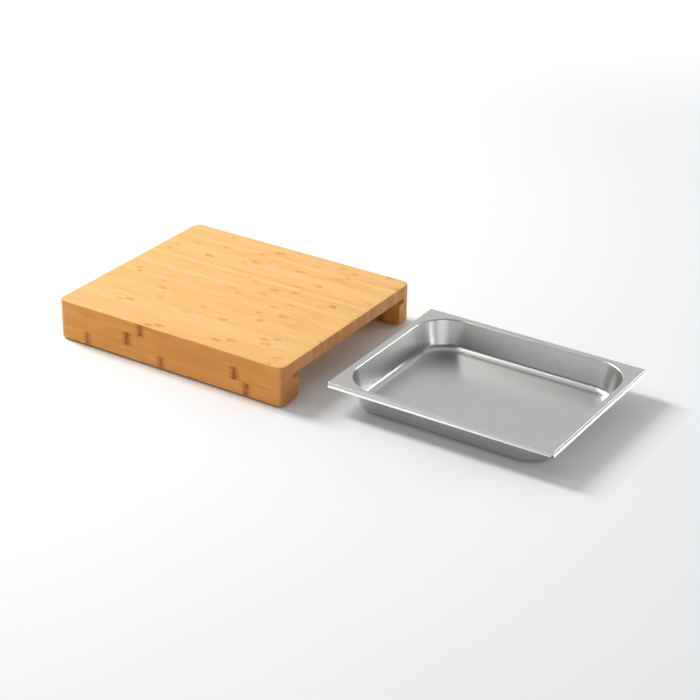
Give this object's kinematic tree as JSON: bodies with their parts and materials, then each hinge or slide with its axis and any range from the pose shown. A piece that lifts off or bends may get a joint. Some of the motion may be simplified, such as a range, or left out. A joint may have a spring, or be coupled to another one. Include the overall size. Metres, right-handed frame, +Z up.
{
  "type": "cutting board with slide-in tray",
  "caption": "Bamboo cutting board on two side rails, with a shallow stainless steel tray that slides into grooves under the work top from its open end.",
  "frame": {"origin": "on the table, under the middle of the box round the board and the drawn-out tray", "axes": "+X along the board and out of its open end, the way the tray is drawn out; +Y across the board to its back rail; +Z up"},
  "size_m": [0.736, 0.316, 0.058],
  "materials": {
    "bamboo": "oiled bamboo strips, satin, with darker knuckle marks",
    "tray_steel": "satin stainless steel, polished at the bends",
    "foot_rubber": "matt black rubber"
  },
  "bodies": {
    "board": {"top_panel": "bamboo", "front_rail_upper": "bamboo", "front_rail_lower": "bamboo", "back_rail_upper": "bamboo", "back_rail_lower": "bamboo", "foot_front_left": "foot_rubber", "foot_front_right": "foot_rubber", "foot_back_left": "foot_rubber", "foot_back_right": "foot_rubber"},
    "tray": {"tray": "tray_steel"}
  },
  "joints": [
    {"name": "tray_slide", "type": "slide", "parent": "board", "child": "tray", "axis": [1, 0, 0], "range_m": [-0.378, 0]}
  ]
}
